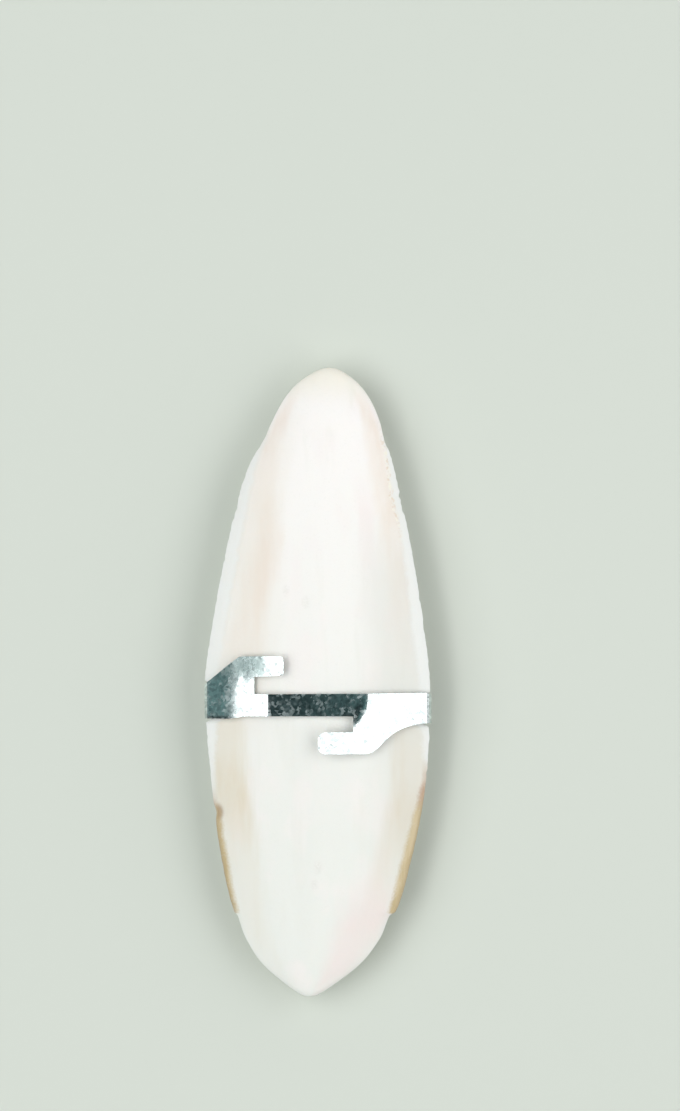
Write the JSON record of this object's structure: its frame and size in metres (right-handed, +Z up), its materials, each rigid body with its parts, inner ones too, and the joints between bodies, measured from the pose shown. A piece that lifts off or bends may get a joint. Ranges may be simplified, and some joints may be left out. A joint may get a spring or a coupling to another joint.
{
  "type": "cuttlebone with holder clip",
  "caption": "Natural oval cuttlebone lying chambered side down, gripped round its rim by a bent sheet-steel clip whose two open hooks hang on cage wires.",
  "frame": {"origin": "centre of the bounding box in X and Y, on the plane that the bone lies on", "axes": "+Y towards the rounded front tip, +X to the right seen from above, +Z up out of the hard shield"},
  "size_m": [0.041, 0.1142, 0.0157],
  "materials": {
    "cuttlebone": "matte",
    "holder_clip": "satin"
  },
  "bodies": {
    "root": {"cuttlebone": "cuttlebone", "holder_clip": "holder_clip"}
  },
  "joints": []
}
